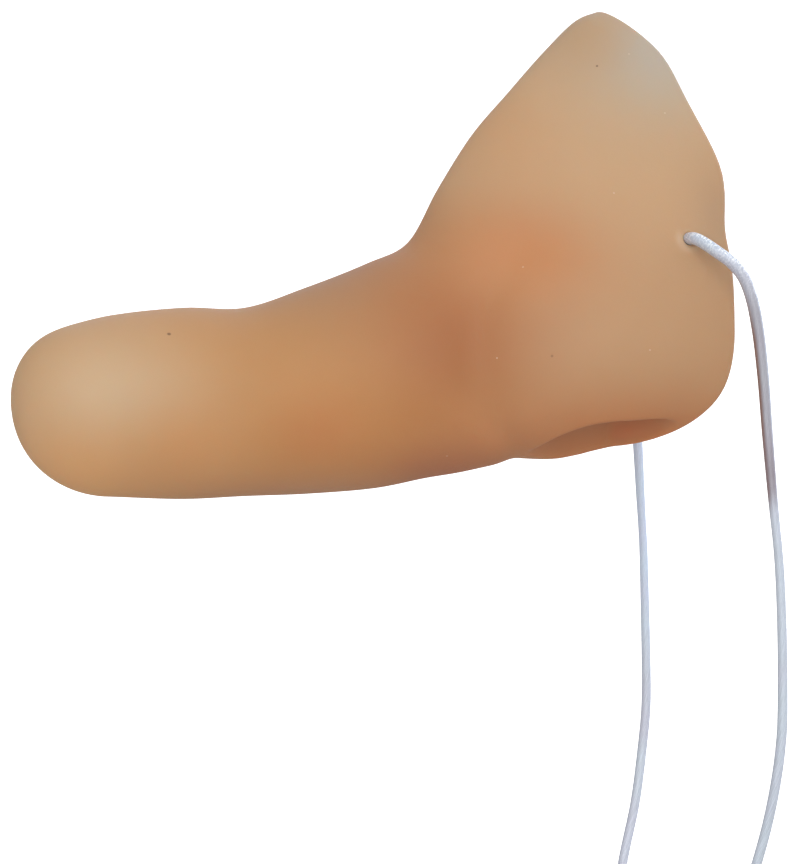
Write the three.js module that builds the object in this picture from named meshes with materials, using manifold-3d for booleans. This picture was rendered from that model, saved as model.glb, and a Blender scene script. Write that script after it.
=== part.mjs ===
// A long costume nose: a hollow moulding of soft vinyl, open at the back, worn on a round elastic
// that passes through a hole in each side and is held inside by a knot at each end.
//
// Millimetres. +Z is up, the nose points along -Y and its back edge faces +Y. The left and right
// sides mirror each other across x = 0.

import * as THREE from "three";
import { mergeVertices } from "three/addons/utils/BufferGeometryUtils.js";
import Module from "manifold-3d";

const wasm = await Module();
wasm.setup();

// Wall of the moulding
const WALL = 2.0; // thickness over most of the nose
const RIM_WALL = 1.4; // thickness at the trimmed back edge
const RIM_TAPER = 2; // sections over which the wall thins towards the edge

// Rounded tip
const CAP_LENGTH = 16.8; // from the first section to the foremost point
const TIP_HEIGHT = -28.2; // height of the foremost point

// Sections from the bulb at the tip to the back edge, as smooth closed curves.
//   depth     where the section's widest point lies along Y
//   top       height of the ridge
//   sole      height of the underside
//   half      half of the greatest width
//   belt      height of the greatest width
//   ridge     how wide the ridge is before it turns down, as a share of half
//   flank     how far the side stands upright above the belt, as a share of the height there
//   keel      how square the underside is, from 0.55 for round
//   topLead   how far the ridge lies ahead of the widest point
//   soleLead  how far the underside lies ahead of the widest point
const COLUMNS = ["depth", "top", "sole", "half", "belt", "ridge", "flank", "keel", "topLead", "soleLead"];
const SECTIONS = [
  [-104.5, -14.0, -45.1, 16.4, -29.0, 0.55, 0.55, 0.55, 0.0, 0.0], // bulb
  [-92.0, -12.5, -45.5, 16.8, -29.0, 0.55, 0.55, 0.55, 0.0, 0.0],
  [-81.0, -12.5, -45.0, 16.5, -29.0, 0.55, 0.55, 0.55, 0.0, 0.0], // waist
  [-70.0, -8.9, -44.6, 17.4, -27.5, 0.55, 0.55, 0.55, 0.0, 0.0],
  [-58.0, -4.6, -43.7, 18.8, -25.0, 0.55, 0.54, 0.56, 0.8, 0.0],
  [-48.5, -0.5, -42.0, 20.6, -23.0, 0.54, 0.5, 0.57, 2.5, 0.5], // saddle
  [-41.0, 9.3, -41.0, 22.6, -21.5, 0.52, 0.46, 0.58, 4.5, 2.0],
  [-33.0, 18.5, -39.6, 25.0, -20.5, 0.5, 0.43, 0.6, 6.5, 3.5], // wings
  [-24.0, 26.2, -38.8, 26.8, -19.5, 0.49, 0.4, 0.61, 8.8, 5.5],
  [-15.0, 33.0, -38.4, 27.6, -18.5, 0.49, 0.38, 0.62, 11.7, 9.3],
  [-7.0, 38.6, -36.9, 27.6, -17.5, 0.5, 0.37, 0.65, 13.8, 9.8],
  [-0.7, 40.4, -36.4, 27.2, -16.7, 0.52, 0.36, 0.7, 15.6, 13.5], // back edge
];
const LAST = SECTIONS.length - 1;
const CREST_SOFTNESS = 0.16; // rounding of each section where it crosses the ridge and the sole
const TOP_REACH = 0.73; // share of the upper quarter in which the lead runs out
const SOLE_REACH = 1.0; // the same for the lower quarter

// The elastic draws the back edge forward beside its holes
const PULL_DEPTH = 1.0;
const PULL_HEIGHT = 1.0;
const PULL_SPREAD = 5.0;
const PULL_SECTIONS = 2;

// Crease in front of each wing: part of a circle seen from the side
const WING_CENTRE = { y: -24, z: -20 };
const CREASE_RADIUS = 21.5;
const CREASE_SPREAD = 4.5;
const CREASE_DEPTH = 1.5;
const CREASE_TILT = 8; // degrees above straight ahead, where the crease is deepest
const CREASE_REACH_UP = 85; // degrees above that, where it has run out
const CREASE_REACH_DOWN = 112; // and below
const WING_SWELL = 1.0; // swelling of the wing inside the crease
const WING_SPREAD = 11;
const SIDE_START = 6; // distance from the middle plane where the side's relief begins
const SIDE_FULL = 15; // and where it is complete
const UNDER_START = -32; // height where the crease begins to run on under the sole
const UNDER_FULL = -38; // and where it is complete there
const NOTCH_SPREAD = 1.7; // the crease narrows to a notch across the sole
const NOTCH_RADIUS = 20.9;
const NOTCH_START = -26; // height where it begins to narrow
const NOTCH_FULL = -40; // and where it is narrowest

// Nostrils: an oval hollow pressed into each side of the sole, with an opening in its roof. The oval
// is measured along the sections and round them, as station and turn.
const NOSTRIL_STATION = 9.1;
const NOSTRIL_TURN = 1.765;
const NOSTRIL_TILT = 0.03; // quarter turns that the oval drops in a section
const NOSTRIL_HALF_LENGTH = 1.8; // in sections
const NOSTRIL_OUTER_WIDTH = 0.345; // half width towards the wing, in quarter turns
const NOSTRIL_INNER_WIDTH = 0.18; // half width towards the middle
const NOSTRIL_DEPTH = 5.0;
const NOSTRIL_FLOOR = 0.4; // share of the oval that is at full depth
const NOSTRIL_LIP = 0.15; // rounding of the oval's edge, as a share of the slope's width
const SILL_START = 0.3; // sections ahead of the back edge where the hollow begins
const SILL_FULL = 1.3; // and where it may reach its full depth
const VENT = { x: 15.8, y: -21.2, across: 2.8, along: 5.1 }; // centre and half axes of the opening
const VENT_TOOL = { low: -48, high: -22 };
const VENT_SIDES = 20;

// Holes for the elastic, along X
const STRAP_HOLE = { x: 25.1, y: -8.5, z: -0.8 };
const STRAP_HOLE_DIAMETER = 3.0;
const STRAP_HOLE_SIDES = 14;
const STRAP_TOOL_LENGTH = 10;

// Elastic: one side of its route, from the knot inside to the lowest point of the loop
const CORD_DIAMETER = 2.2;
const CORD_SIDES = 8;
const CORD_STEPS = 78;
const CORD_HALF_ROUTE = [
  [22.4, -8.5, -0.8],
  [25.1, -8.5, -0.8],
  [28.4, -8.3, -0.8],
  [30.9, -7.1, -1.9],
  [32.3, -5.1, -4.0],
  [32.9, -2.9, -7.0],
  [33.0, -0.9, -11.0],
  [33.0, 0.9, -17.0],
  [32.8, 2.1, -25.0],
  [32.8, 2.8, -36.0],
  [33.7, 3.9, -49.0],
  [34.3, 4.7, -62.0],
  [34.4, 5.0, -76.0],
  [34.0, 4.3, -90.0],
  [33.0, 2.6, -101.0],
  [31.2, -0.3, -113.0],
  [26.8, -3.9, -126.0],
  [18.5, -7.4, -137.0],
  [9.0, -9.8, -143.0],
  [0.0, -10.6, -145.0],
];

// Knots: stopper knots that bear on the wall from inside
const KNOT_RADIUS = 2.9;
const KNOT_LENGTH = 5.4;
const KNOT_OUTER_END = 22.1;
const KNOT_ROUNDING = 1.4;
const KNOT_SIDES = 14;

// Fineness of the moulding's facets
const CAP_RINGS = 7;
const SNOUT_RINGS = 2; // rings from one section to the next along the snout
const WING_RINGS = 4; // and around the wings
const WING_START = 5;
const UPPER_STEPS = 10; // facets in a quarter above the belt
const LOWER_STEPS = 16; // and below it

const SKIN_COLOUR = 0xc4976c;
const ELASTIC_COLOUR = 0xdfe3ec;

function smoothRise(low, high, value) {
  const share = Math.min(1, Math.max(0, (value - low) / (high - low)));
  return share * share * (3 - 2 * share);
}

// A straight rise from 0 to 1 that starts softly
function roundedRamp(share, softness) {
  return (Math.hypot(share, softness) - softness) / (Math.hypot(1, softness) - softness);
}

// A table column at a station between sections, as a smooth curve through the rows
function tableValue(name, station) {
  const column = COLUMNS.indexOf(name);
  const at = (row) => SECTIONS[Math.min(LAST, Math.max(0, row))][column];
  const place = Math.min(LAST, Math.max(0, station));
  const row = Math.min(LAST - 1, Math.floor(place));
  const f = place - row;
  const slopeStart = row === 0 ? at(1) - at(0) : (at(row + 1) - at(row - 1)) / 2;
  const slopeEnd = row === LAST - 1 ? at(LAST) - at(LAST - 1) : (at(row + 2) - at(row)) / 2;
  const start = (2 * f - 3) * f * f + 1;
  const end = 1 - start;
  return start * at(row) + end * at(row + 1) + f * (1 - f) * ((1 - f) * slopeStart - f * slopeEnd);
}

function quarterCurve(start, startHandle, endHandle, end, share) {
  const rest = 1 - share;
  const outer = rest * rest * (rest * start + 3 * share * startHandle);
  const inner = share * share * (3 * rest * endHandle + share * end);
  return outer + inner;
}

// How much of the lead has run out, from 0 on the middle line to 1 at the belt
function leadRunOut(share, reach) {
  return Math.sin((Math.PI / 2) * Math.min(1, roundedRamp(share, CREST_SOFTNESS) / reach));
}

// The plain skin. Station -1 is the foremost point, 0 to LAST are the sections. Turn runs round the
// section: 0 ridge, 1 right belt, 2 sole, 3 left belt.
function skinPoint(station, turn) {
  const around = ((turn % 4) + 4) % 4;
  const side = around <= 2 ? 1 : -1;
  const half = around <= 2 ? around : 4 - around;
  const value = (name) => tableValue(name, station);
  const [top, sole, width, belt] = [value("top"), value("sole"), value("half"), value("belt")];
  let x;
  let y = value("depth");
  let z;
  if (half <= 1) {
    x = quarterCurve(0, value("ridge") * width, width, width, half);
    z = quarterCurve(top, top, belt + value("flank") * (top - belt), belt, half);
    y -= value("topLead") * (1 - leadRunOut(half, TOP_REACH));
  } else {
    const share = half - 1;
    const keel = value("keel");
    x = quarterCurve(width, width, keel * width, 0, share);
    z = quarterCurve(belt, belt - keel * (belt - sole), sole, sole, share);
    y -= value("soleLead") * (1 - leadRunOut(1 - share, SOLE_REACH));
  }
  if (station < 0) {
    const angle = Math.max(0, 1 + station) * (Math.PI / 2);
    x *= Math.sin(angle);
    z = TIP_HEIGHT + (z - TIP_HEIGHT) * Math.sin(angle);
    y -= CAP_LENGTH * Math.cos(angle);
  }
  const nearEdge = Math.max(0, (station - (LAST - PULL_SECTIONS)) / PULL_SECTIONS);
  y -= PULL_DEPTH * nearEdge * nearEdge * Math.exp(-(((z - PULL_HEIGHT) / PULL_SPREAD) ** 2));
  return new THREE.Vector3(side * x, y, z);
}

function skinNormal(station, turn) {
  if (station <= -1) {
    return new THREE.Vector3(0, -1, 0);
  }
  const step = 0.004;
  const ahead = skinPoint(Math.max(-1, station - step), turn);
  const along = skinPoint(Math.min(LAST, station + step), turn).sub(ahead);
  const around = skinPoint(station, turn + step).sub(skinPoint(station, turn - step));
  return around.cross(along).normalize();
}

// How deep the nostril's hollow is, from 0 outside its oval to 1 at its roof
function nostrilHollow(station, turn) {
  const half = turn <= 2 ? turn : 4 - turn;
  const along = (station - NOSTRIL_STATION) / NOSTRIL_HALF_LENGTH;
  const offset = half - NOSTRIL_TURN - NOSTRIL_TILT * (station - NOSTRIL_STATION);
  const across = offset / (offset > 0 ? NOSTRIL_INNER_WIDTH : NOSTRIL_OUTER_WIDTH);
  const inward = (1 - Math.hypot(along, across)) / (1 - NOSTRIL_FLOOR);
  const ramp = roundedRamp(Math.min(1, Math.max(0, inward)), NOSTRIL_LIP);
  return (1 - (1 - ramp) ** 2) * smoothRise(SILL_START, SILL_FULL, LAST - station);
}

// Relief of the skin, outwards: wing swelling, crease in front of it, nostril hollow
function relief(point, station, turn) {
  const onSide = smoothRise(SIDE_START, SIDE_FULL, Math.abs(point.x));
  const under = smoothRise(-UNDER_START, -UNDER_FULL, -point.z);
  const ahead = WING_CENTRE.y - point.y;
  const above = point.z - WING_CENTRE.z;
  const distance = Math.hypot(ahead, above);
  const angle = THREE.MathUtils.radToDeg(Math.atan2(above, ahead)) - CREASE_TILT;
  const reach = angle > 0 ? CREASE_REACH_UP : CREASE_REACH_DOWN;
  const fade = 1 - smoothRise(reach / 3, reach, Math.abs(angle));
  const narrowing = smoothRise(-NOTCH_START, -NOTCH_FULL, -point.z);
  const radius = THREE.MathUtils.lerp(CREASE_RADIUS, NOTCH_RADIUS, narrowing);
  const spread = THREE.MathUtils.lerp(CREASE_SPREAD, NOTCH_SPREAD, narrowing);
  const crease = fade * Math.exp(-(((distance - radius) / spread) ** 2));
  const swell = Math.exp(-((distance / WING_SPREAD) ** 2));
  const wing = onSide * WING_SWELL * swell - Math.max(onSide, under) * CREASE_DEPTH * crease;
  return wing - NOSTRIL_DEPTH * nostrilHollow(station, turn);
}

function wallAt(station) {
  return THREE.MathUtils.lerp(RIM_WALL, WALL, Math.min(1, (LAST - station) / RIM_TAPER));
}

function shellPoint(station, turn, below) {
  const point = skinPoint(station, turn);
  const normal = skinNormal(station, turn);
  return point.addScaledVector(normal, relief(point, station, turn) - below);
}

function ringStations() {
  const stations = [];
  for (let ring = 1; ring < CAP_RINGS; ring += 1) {
    stations.push(ring / CAP_RINGS - 1);
  }
  for (let ring = 0; ring < WING_START * SNOUT_RINGS; ring += 1) {
    stations.push(ring / SNOUT_RINGS);
  }
  for (let ring = 0; ring <= (LAST - WING_START) * WING_RINGS; ring += 1) {
    stations.push(WING_START + ring / WING_RINGS);
  }
  return stations;
}

function ringTurns() {
  const half = [];
  for (let step = 0; step < UPPER_STEPS; step += 1) {
    half.push(step / UPPER_STEPS);
  }
  for (let step = 0; step < LOWER_STEPS; step += 1) {
    half.push(1 + step / LOWER_STEPS);
  }
  const mirrored = half.slice(1).reverse().map((turn) => 4 - turn);
  return [...half, 2, ...mirrored];
}

// Outer and inner skins from the foremost point to the back edge, joined by a strip at that edge
function buildMoulding() {
  const stations = ringStations();
  const turns = ringTurns();
  const positions = [];
  const index = [];
  const addPoint = (point) => positions.push(point.x, point.y, point.z);
  const addSkin = (depthAt) => {
    addPoint(shellPoint(-1, 0, depthAt(-1)));
    for (const station of stations) {
      for (const turn of turns) {
        addPoint(shellPoint(station, turn, depthAt(station)));
      }
    }
  };
  addSkin(() => 0);
  addSkin(wallAt);

  const count = turns.length;
  const innerStart = 1 + stations.length * count;
  const vertex = (skin, ring, step) => skin + 1 + ring * count + (step % count);
  const addTriangle = (inside, a, b, c) => (inside ? index.push(a, c, b) : index.push(a, b, c));
  for (const skin of [0, innerStart]) {
    const inside = skin > 0;
    for (let step = 0; step < count; step += 1) {
      addTriangle(inside, skin, vertex(skin, 0, step + 1), vertex(skin, 0, step));
      for (let ring = 0; ring + 1 < stations.length; ring += 1) {
        const a = vertex(skin, ring, step);
        const b = vertex(skin, ring, step + 1);
        const c = vertex(skin, ring + 1, step + 1);
        const d = vertex(skin, ring + 1, step);
        addTriangle(inside, a, b, c);
        addTriangle(inside, a, c, d);
      }
    }
  }
  const edge = stations.length - 1;
  for (let step = 0; step < count; step += 1) {
    const a = vertex(0, edge, step);
    const b = vertex(0, edge, step + 1);
    const c = vertex(innerStart, edge, step + 1);
    const d = vertex(innerStart, edge, step);
    index.push(a, b, c, a, c, d);
  }
  const geometry = new THREE.BufferGeometry();
  geometry.setAttribute("position", new THREE.Float32BufferAttribute(positions, 3));
  geometry.setIndex(index);
  return geometry;
}

function toSolid(geometry) {
  const bare = geometry.clone();
  bare.deleteAttribute("normal");
  bare.deleteAttribute("uv");
  const welded = mergeVertices(bare);
  const mesh = new wasm.Mesh({
    numProp: 3,
    vertProperties: new Float32Array(welded.attributes.position.array),
    triVerts: new Uint32Array(welded.index.array),
  });
  return new wasm.Manifold(mesh);
}

function toGeometry(solid) {
  const mesh = solid.getMesh();
  const geometry = new THREE.BufferGeometry();
  geometry.setAttribute("position", new THREE.BufferAttribute(mesh.vertProperties, 3));
  geometry.setIndex(new THREE.BufferAttribute(mesh.triVerts, 1));
  geometry.computeVertexNormals();
  return geometry;
}

function strapHoleTool(side) {
  const radius = STRAP_HOLE_DIAMETER / 2;
  const tool = new THREE.CylinderGeometry(radius, radius, STRAP_TOOL_LENGTH, STRAP_HOLE_SIDES);
  tool.rotateZ(Math.PI / 2);
  return tool.translate(side * STRAP_HOLE.x, STRAP_HOLE.y, STRAP_HOLE.z);
}

function ventTool(side) {
  const tool = new THREE.CylinderGeometry(1, 1, VENT_TOOL.high - VENT_TOOL.low, VENT_SIDES);
  tool.rotateX(Math.PI / 2);
  tool.scale(VENT.across, VENT.along, 1);
  return tool.translate(side * VENT.x, VENT.y, (VENT_TOOL.high + VENT_TOOL.low) / 2);
}

function buildShell() {
  let solid = toSolid(buildMoulding());
  for (const side of [-1, 1]) {
    solid = solid.subtract(toSolid(strapHoleTool(side)));
    solid = solid.subtract(toSolid(ventTool(side)));
  }
  return toGeometry(solid);
}

function buildCord() {
  const right = CORD_HALF_ROUTE.map(([x, y, z]) => new THREE.Vector3(x, y, z));
  const left = right.slice(0, -1).reverse().map((point) => new THREE.Vector3(-point.x, point.y, point.z));
  const route = new THREE.CatmullRomCurve3([...right, ...left]);
  const section = new THREE.Shape();
  section.absarc(0, 0, CORD_DIAMETER / 2, 0, 2 * Math.PI);
  return new THREE.ExtrudeGeometry(section, {
    steps: CORD_STEPS,
    curveSegments: CORD_SIDES / 2,
    bevelEnabled: false,
    extrudePath: route,
  });
}

function buildKnot() {
  const middle = KNOT_LENGTH / 2;
  const shoulder = middle - KNOT_ROUNDING;
  const profile = [
    [0, -middle],
    [KNOT_RADIUS - KNOT_ROUNDING, -middle],
    [KNOT_RADIUS - 0.3 * KNOT_ROUNDING, -middle + 0.3 * KNOT_ROUNDING],
    [KNOT_RADIUS, -shoulder],
    [KNOT_RADIUS, shoulder],
    [KNOT_RADIUS - 0.3 * KNOT_ROUNDING, middle - 0.3 * KNOT_ROUNDING],
    [KNOT_RADIUS - KNOT_ROUNDING, middle],
    [0, middle],
  ].map(([radius, height]) => new THREE.Vector2(radius, height));
  const knot = new THREE.LatheGeometry(profile, KNOT_SIDES);
  return knot.rotateZ(Math.PI / 2);
}

const skin = new THREE.MeshStandardMaterial({ color: SKIN_COLOUR, roughness: 0.55, metalness: 0 });
const elastic = new THREE.MeshStandardMaterial({ color: ELASTIC_COLOUR, roughness: 0.7, metalness: 0 });

const nose = new THREE.Group();

const shell = new THREE.Mesh(buildShell(), skin);
shell.name = "nose_shell";
nose.add(shell);

const cord = new THREE.Mesh(buildCord(), elastic);
cord.name = "elastic_cord";
nose.add(cord);

for (const [name, side] of [
  ["knot_left", -1],
  ["knot_right", 1],
]) {
  const knot = new THREE.Mesh(buildKnot(), elastic);
  knot.name = name;
  knot.position.set(side * (KNOT_OUTER_END - KNOT_LENGTH / 2), STRAP_HOLE.y, STRAP_HOLE.z);
  nose.add(knot);
}

export default nose;
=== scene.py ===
"""Dresses the costume nose: a soft vinyl moulding with airbrushed tints and painted light and shade, on a
round white elastic with painted shade, reflection and glints.

The moulding is worked out in millimetres from sections like the solid's, and set down in metres.
+Z is up, the nose points along -Y and its open back faces +Y.
"""
import math

import bpy
import numpy as np
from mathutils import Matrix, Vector
from mathutils.bvhtree import BVHTree


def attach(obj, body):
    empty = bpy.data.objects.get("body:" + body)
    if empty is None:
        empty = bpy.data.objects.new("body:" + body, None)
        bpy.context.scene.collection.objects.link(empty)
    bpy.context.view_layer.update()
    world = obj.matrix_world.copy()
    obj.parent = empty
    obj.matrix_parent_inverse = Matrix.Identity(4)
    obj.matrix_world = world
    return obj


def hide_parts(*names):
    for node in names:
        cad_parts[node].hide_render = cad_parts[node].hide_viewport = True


MM = 0.001
FRAME_WIDTH = 800
FRAME_HEIGHT = 864

# Camera: the photograph's viewpoint
VIEW_AZIMUTH = 74
VIEW_ELEVATION = 0
VIEW_DISTANCE = 0.65
VIEW_TARGET = (0, -0.053, -0.034)
PIXEL_SIZE = 0.175 * MM  # what one pixel of the photograph spans at the target
SENSOR = 36

# Wall of the moulding
WALL = 2.0  # thickness over most of the nose
RIM_WALL = 1.4  # thickness at the trimmed back edge
RIM_TAPER = 2  # sections over which the wall thins towards the edge

# Rounded tip
CAP_LENGTH = 17.0  # from the first section to the foremost point
CAP_BLUNTNESS = 0.92  # 1 is a plain oval, and less is blunter
TIP_HEIGHT = -28.2  # height of the foremost point
BROW_RISE = 2.1  # how far the top line climbs to the next section, as it leaves the tip
BROW_SLOPE = 0.2  # how steeply the tip's top falls away at first, as a share of its height
BROW_FALL = (0, 0.85)  # along the tip's length

# Sections from the bulb at the tip to the back edge, as smooth closed curves. Depth is where the widest
# point lies along Y, top and sole are the heights of the ridge and the underside, half is half of the
# greatest width and belt its height. Ridge is how wide the ridge is before it turns down, as a share
# of half. Flank is how far the side stands upright above the belt, and keel how square the underside
# is, from 0.55 for round. The leads are how far the ridge and the underside lie ahead of the widest point.
COLUMNS = ("depth", "top", "sole", "half", "belt", "ridge", "flank", "keel", "top_lead", "sole_lead")
SECTIONS = np.array([
    (-104.5, -14.0, -45.1, 16.4, -29.0, 0.55, 0.55, 0.55, 0.0, 0.0),
    (-92.0, -12.6, -45.55, 16.8, -29.0, 0.55, 0.55, 0.55, 0.0, 0.0),
    (-81.0, -12.5, -45.1, 16.5, -29.0, 0.55, 0.55, 0.55, 0.0, 0.0),
    (-70.0, -8.9, -44.75, 17.4, -27.5, 0.55, 0.55, 0.55, 0.0, 0.0),
    (-58.0, -4.5, -43.85, 18.8, -25.0, 0.55, 0.54, 0.56, 0.8, 0.0),
    (-48.5, -0.5, -42.15, 20.6, -23.0, 0.54, 0.50, 0.57, 2.5, 0.5),
    (-41.0, 9.2, -41.2, 22.6, -21.5, 0.52, 0.46, 0.58, 4.5, 2.0),
    (-33.0, 18.5, -39.9, 25.0, -20.5, 0.50, 0.43, 0.60, 6.5, 3.5),
    (-24.0, 26.2, -39.1, 26.8, -19.5, 0.49, 0.40, 0.61, 8.8, 5.5),
    (-15.0, 33.0, -38.7, 27.6, -18.5, 0.49, 0.38, 0.62, 11.7, 9.3),
    (-7.0, 38.8, -37.1, 27.6, -17.5, 0.50, 0.37, 0.65, 13.8, 9.8),
    (-0.7, 40.8, -36.5, 27.2, -16.7, 0.52, 0.36, 0.70, 15.6, 13.5),
])
LAST = len(SECTIONS) - 1
CREST_SOFTNESS = 0.16  # rounding of each section where it crosses the ridge and the sole
TOP_REACH = 0.73  # share of the upper quarter in which the lead runs out
SOLE_REACH = 1.0  # the same for the lower quarter

# The soft back edge waves, and the elastic draws it forward beside its holes.
# Each wave is its height, its spread and its shift along Y.
EDGE_WAVES = [
    (1.0, 5.0, -1.0),
    (32.5, 4.5, 0.85),
    (23.0, 5.0, -0.45),
    (11.5, 5.0, 0.65),
    (-28.5, 5.5, 0.5),
]
WAVE_SECTIONS = 2  # sections over which the waves fade out

# Crease in front of each wing, and the wing's swelling inside it
WING_CENTRE = (-24, -20)  # along Y and Z
CREASE_RADIUS = 21.5
CREASE_SPREAD = 4.5
CREASE_DEPTH = 1.5
CREASE_TILT = 8  # degrees above straight ahead, where the crease is deepest
CREASE_REACH_UP = 85  # degrees above that, where it has run out
CREASE_REACH_DOWN = 112  # and below
CREASE_EVEN_PART = 3  # it keeps its depth for one part in this many of its reach
WING_SWELL = 1.0
WING_SPREAD = 11
SIDE_START = 6  # distance from the middle plane where the side's relief begins
SIDE_FULL = 15  # and where it is complete
UNDER_START = -32  # height where the crease begins to run on under the sole
UNDER_FULL = -38  # and where it is complete there
NOTCH_SPREAD = 1.7  # the crease narrows to a notch across the sole
NOTCH_RADIUS = 20.9
NOTCH_START = -26  # height where it begins to narrow
NOTCH_FULL = -40  # and where it is narrowest

# Nostrils, in sections along the nose and quarter turns round it
NOSTRIL_STATION = 9.1
NOSTRIL_TURN = 1.765
NOSTRIL_TILT = 0.03  # quarter turns that the oval drops in a section
NOSTRIL_LENGTH = (1.8, 2.7)  # half lengths ahead of the station and behind it
NOSTRIL_SQUARENESS = (2.3, 2)  # ahead and behind, where 2 is a plain oval
NOSTRIL_OUTER_WIDTH = 0.335  # half width towards the wing
NOSTRIL_INNER_WIDTH = 0.18  # half width towards the middle
NOSTRIL_DEPTH = 5.0
NOSTRIL_FLOOR = 0.4  # share of the oval that is at full depth
NOSTRIL_LIP = 0.15  # rounding of the oval's edge, as a share of the slope's width
SILL_START = 0.1  # sections ahead of the back edge where the hollow begins
SILL_FULL = 0.95  # and where it may reach its full depth
VENT_PLACE = (15.8, -21.2)  # middle of the breathing opening, along X and Y
VENT_HALF = (2.8, 5.1)  # and its half axes
VENT_BELOW = -20  # height under which it is cut

# Holes for the elastic
STRAP_HOLE = (25.1, -8.5, -0.8)
STRAP_HOLE_RADIUS = 0.95  # the soft wall grips the elastic
STRAP_SIDE = 10  # distance from the middle plane past which they are cut
STRAP_RING_RADIUS = 1.8
STRAP_RING_SPREAD = 0.7
STRAP_RING_HEIGHT = 0.22
STRAP_RING_SIDE = (-0.75, -0.66)  # the elastic lifts the hole's lip on the side away from its pull
STRAP_RING_TURN = (-0.3, 0.9)  # how squarely a place must lie on that side
STRAP_MIDDLE = 0.001  # distance within which the hole has no sides

# Fineness of the moulding
FULL_TURN = 4  # quarter turns once round it
CAP_RINGS = 24
SNOUT_RINGS = 9  # rings from one section to the next along the snout
WING_RINGS = 12  # and around the wings
WING_START = 5
UPPER_STEPS = 45  # steps in a quarter above the belt
LOWER_STEPS = 65  # and below it
NORMAL_STEP = 0.004  # shift along and around, from which the skin's slope is taken
OUT_OF_REACH = 1e3  # stands for a distance where a hole isn't cut
SNAP = 0.35  # how far along a cell's side a hole's edge draws a corner to itself
LIP_STEPS = 6
RIM_LIP = 0.7
RIM_STATION = LAST - 0.11  # where the wall ends and its rounded lip begins
RIM_TOUCH = 1e-6
VENT_LIP = 0.7
STRAP_LIP = 0.4

# Middle, half width and step of the finer bands of the grid through the elastic's holes
FINE_TURN = (0.757, 0.055, 0.006)
FINE_STATION = (9.84, 0.5, 0.035)

# Elastic: one side of its route, from the knot inside to the lowest point of the loop
CORD_HALF_ROUTE = [
    (20.6, -8.5, -0.8),
    (25.1, -8.5, -0.8),
    (27.4, -8.3, -0.9),
    (29.0, -7.3, -1.7),
    (30.8, -5.4, -3.4),
    (31.9, -3.4, -5.1),
    (32.5, -1.5, -7.5),
    (32.9, -0.2, -10.9),
    (33.0, 0.9, -16.0),
    (33.0, 1.9, -24.0),
    (33.0, 2.8, -35.0),
    (33.5, 3.6, -46.0),
    (34.1, 4.4, -56.0),
    (34.4, 4.8, -66.5),
    (34.3, 5.0, -77.0),
    (34.1, 4.9, -85.7),
    (33.7, 3.9, -94.3),
    (32.6, 2.2, -103.5),
    (31.0, -0.8, -114.4),
    (26.6, -4.1, -126.5),
    (18.5, -7.4, -137.0),
    (9.0, -9.8, -143.0),
    (0.0, -10.6, -145.0),
]
CORD_RADII = [(0, 1.06), (25, 1.04), (45, 0.92), (62, 0.74), (78, 0.79), (95, 0.85)]  # by length from a knot
ROUTE_STEPS = 60  # points worked out from one point of a route to the next
CORD_STEP = 0.4  # distance between rings
CORD_SIDES = 84
TUBE_START = (0.3, 0.9, 0.31)  # a direction that no tube starts along
THREAD_COUNT = 21
THREAD_PITCH = 24  # length of elastic in which a thread winds once round it
THREAD_HEIGHT = 0.02
FIBRE_STRETCH = 0.06  # how quickly the fibres' noise runs along the elastic
RIB_STRETCH = 1.8  # and that of the ribs across it
SHADE_STRETCH_START = (-14, -3)  # painted shade: heights between which the elastic is greyer, beside the wing
SHADE_STRETCH_END = (-48, -43)
SKIN_REFLECTION_START = (-19, -11)  # painted reflection of the skin: its side towards the nose is brown below these heights
SKIN_REFLECTION_SIDE = (0.5, 1.1)  # how squarely that side faces the nose
HIGHLIGHT_SIDE = (0.3, 0.9)  # and its side away from the nose is kept white, a painted highlight
MAUVE_BAND_HEIGHT = -41  # a mauve band at the lower end of the greyer stretch
MAUVE_BAND_SPREAD = 5
MAUVE_BAND_STRENGTH = 0.55
SLACK_RUN = (9, 26)  # distance from the knot over which its threads lie closer and show as ribs
SHINE_DIRECTION = (0.25, 0.5, 0.83)  # the ribs' glints are painted on their upper side, a painted highlight
SHINE_SIDE = (0.2, 0.8)
FAR_STRAND_LIGHT_HEIGHT = (-85, -50)  # painted light: the left strand is paler above these heights, where the nose shades it

# Knots
KNOT_RADIUS = 2.0
KNOT_TUBE = 0.9
KNOT_CENTRE_X = 20.9
KNOT_RINGS = 150
KNOT_RUN = 30  # length of elastic in the knot's turns
KNOT_REACH = 3  # how far the turns reach from the knot's middle before they are scaled
KNOT_TAIL_ROUTE = [(0.3, 0.6, -1.9), (-1.2, 0.9, -2.2), (-3.4, 1.6, -3.0), (-6.5, 1.9, -4.6)]

# Colours, as the codes that a screen takes
FLESH = "d29b63"
# painted shade in the nostril's hollow
HOLLOW_SHADE = "c28860"
LINING = "cfa67e"
# the raised lip beside each elastic's hole: partly paler stretched vinyl, partly a painted highlight
LIP_PALE_AND_HIGHLIGHT = "e6cfb2"
LIP_PALE_AND_HIGHLIGHT_STRENGTH = 0.4
LINING_DEPTH = (0.55, 1)  # share of the wall's depth over which the skin's colour gives way to the lining's
PINHOLE_BROWN = "5a3623"
SPECK_CREAM = "f2e2cc"
ELASTIC_WHITE = "d0d7e3"
ELASTIC_SHADE = "c1c8d3"
ELASTIC_SLACK = "c2c8d6"
# painted light on the left strand, where the nose shades it
ELASTIC_FAR_LIGHT = "d9e8fb"
# painted shade: the greyer stretch beside the wing
ELASTIC_GREY = "adabb4"
# painted reflection of the brown skin on the elastic's side towards the nose
ELASTIC_SKIN_REFLECTION = "8d6b60"
ELASTIC_MAUVE = "8c7b84"
# painted highlight: the white of the ribs' glints
ELASTIC_GLINT = "fdfdff"
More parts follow.
